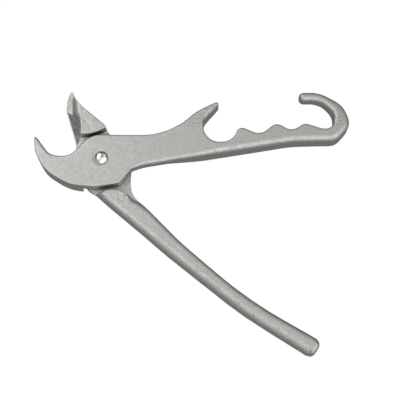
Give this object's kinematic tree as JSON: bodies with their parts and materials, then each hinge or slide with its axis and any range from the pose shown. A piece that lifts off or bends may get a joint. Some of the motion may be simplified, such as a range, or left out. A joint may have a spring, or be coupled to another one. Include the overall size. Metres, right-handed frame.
{
  "type": "string cutting pliers",
  "caption": "Hand pliers for music strings: a hooked beak and a ground blade cross at a rivet, with a plain handle and a finger-grooved handle that ends in a hook.",
  "frame": {"origin": "on the rivet's axis, at the flat back faces that the tool lies on", "axes": "+X runs along the hooked handle from the pivot, +Y points to the hook's and jaw's side, +Z comes out of the front face along the rivet"},
  "size_m": [0.2068, 0.176, 0.014],
  "materials": {
    "blasted_steel": "satin cast steel, shot-blasted",
    "plated_rivet": "bright plated",
    "plain_washer": "plain turned steel"
  },
  "bodies": {
    "hook_handle": {"hook_half": "blasted_steel", "pivot_rivet": "plated_rivet", "rivet_washer": "plain_washer"},
    "blade_handle": {"blade_half": "blasted_steel"}
  },
  "joints": [
    {"name": "jaw_pivot", "type": "hinge", "parent": "hook_handle", "child": "blade_handle", "pos_m": [0, 0, 0.006], "axis": [0, 0, 1], "range_deg": [-8, 43]}
  ]
}
